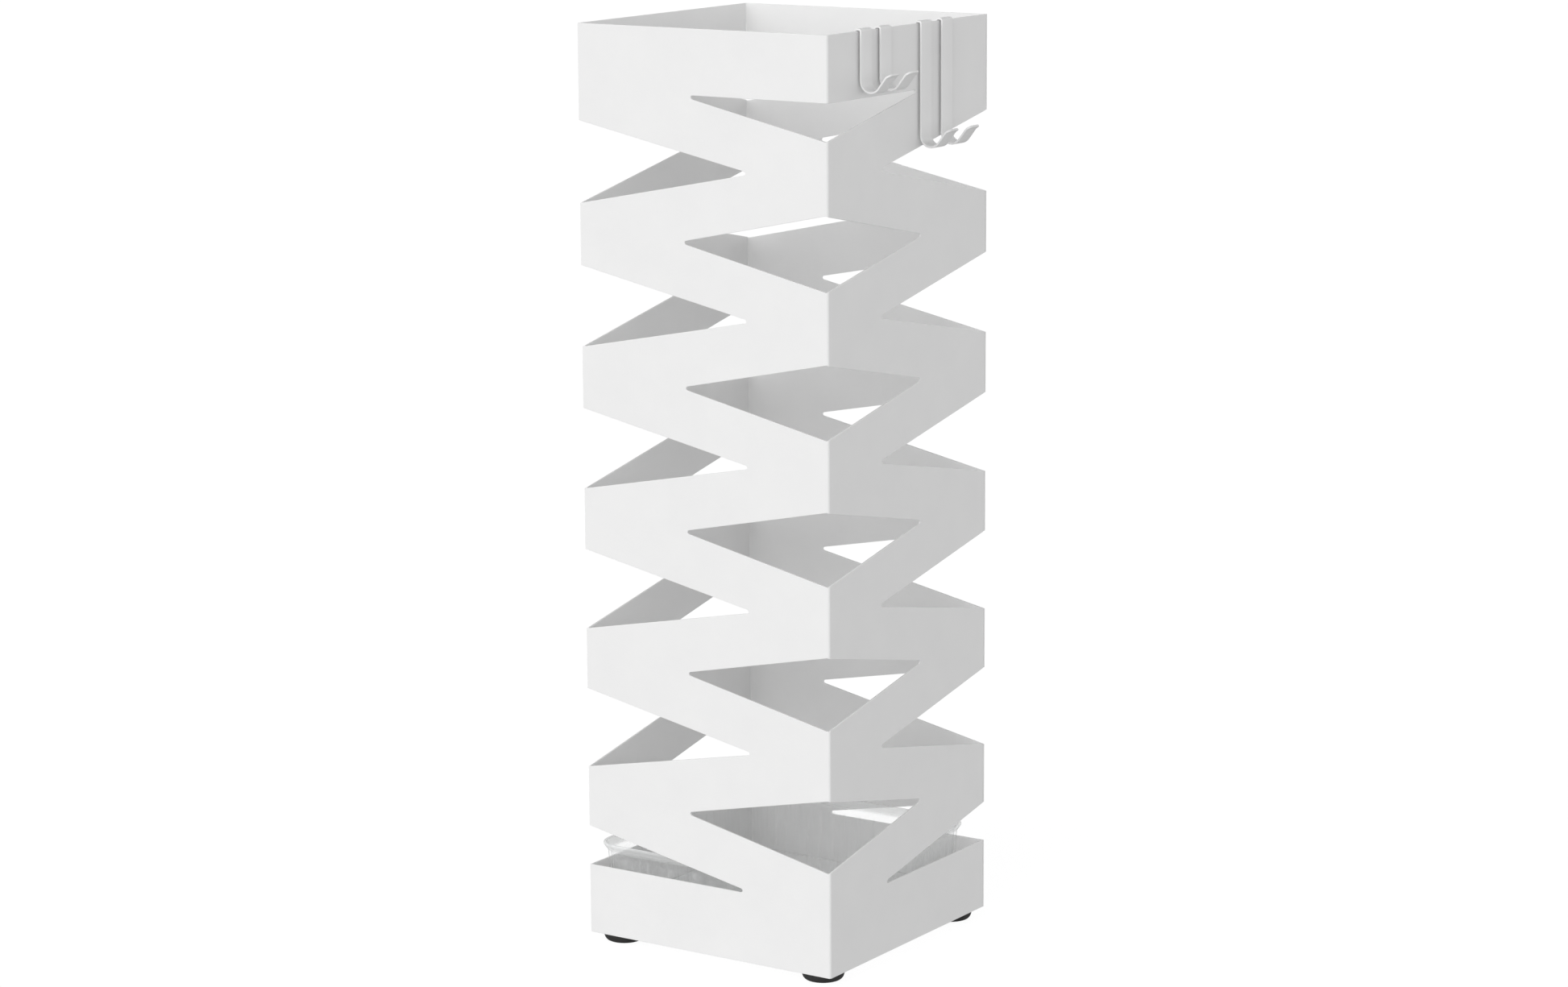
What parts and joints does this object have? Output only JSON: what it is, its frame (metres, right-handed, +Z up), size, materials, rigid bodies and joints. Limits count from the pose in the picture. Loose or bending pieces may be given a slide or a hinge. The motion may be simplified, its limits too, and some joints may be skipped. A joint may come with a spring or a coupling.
{
  "type": "umbrella stand",
  "caption": "Square umbrella stand: folded sheet-metal tower with lozenge cut-outs round its corners, loose clear drip tray, strip hooks hung over the rim, rubber feet.",
  "frame": {"origin": "on the floor, under the middle of the whole footprint, so the shell's own middle lies back along -X by half of what the hooks stand out", "axes": "+Z up; the front wall faces -Y; the wall with the hooks faces +X"},
  "size_m": [0.1724, 0.153, 0.4913],
  "materials": {
    "shell_paint": "white fine-grained satin powder coat",
    "pan_paint": "white satin powder coat",
    "hook_paint": "white smooth satin powder coat",
    "tray_plastic": "clear glossy moulded plastic",
    "foot_rubber": "matte black rubber",
    "screw_zinc": "zinc plated",
    "nut_zinc": "zinc plated"
  },
  "bodies": {
    "stand": {"shell_front": "shell_paint", "shell_back": "shell_paint", "base_pan": "pan_paint", "foot_front": "foot_rubber", "foot_right": "foot_rubber", "foot_back": "foot_rubber", "foot_left": "foot_rubber", "foot_screw_front": "screw_zinc", "foot_screw_right": "screw_zinc", "foot_screw_back": "screw_zinc", "foot_screw_left": "screw_zinc", "foot_nut_front": "nut_zinc", "foot_nut_right": "nut_zinc", "foot_nut_back": "nut_zinc", "foot_nut_left": "nut_zinc"},
    "tray": {"drip_tray": "tray_plastic"},
    "hook_short_1": {"hook_short_1": "hook_paint"},
    "hook_short_2": {"hook_short_2": "hook_paint"},
    "hook_long_1": {"hook_long_1": "hook_paint"},
    "hook_long_2": {"hook_long_2": "hook_paint"}
  },
  "joints": [
    {"name": "tray_lift", "type": "slide", "parent": "stand", "child": "tray", "axis": [0, 0, 1], "range_m": [0, 0.49]},
    {"name": "hook_short_1_lift", "type": "slide", "parent": "stand", "child": "hook_short_1", "axis": [0, 0, 1], "range_m": [0, 0.03]},
    {"name": "hook_short_2_lift", "type": "slide", "parent": "stand", "child": "hook_short_2", "axis": [0, 0, 1], "range_m": [0, 0.03]},
    {"name": "hook_long_1_lift", "type": "slide", "parent": "stand", "child": "hook_long_1", "axis": [0, 0, 1], "range_m": [0, 0.03]},
    {"name": "hook_long_2_lift", "type": "slide", "parent": "stand", "child": "hook_long_2", "axis": [0, 0, 1], "range_m": [0, 0.03]}
  ]
}
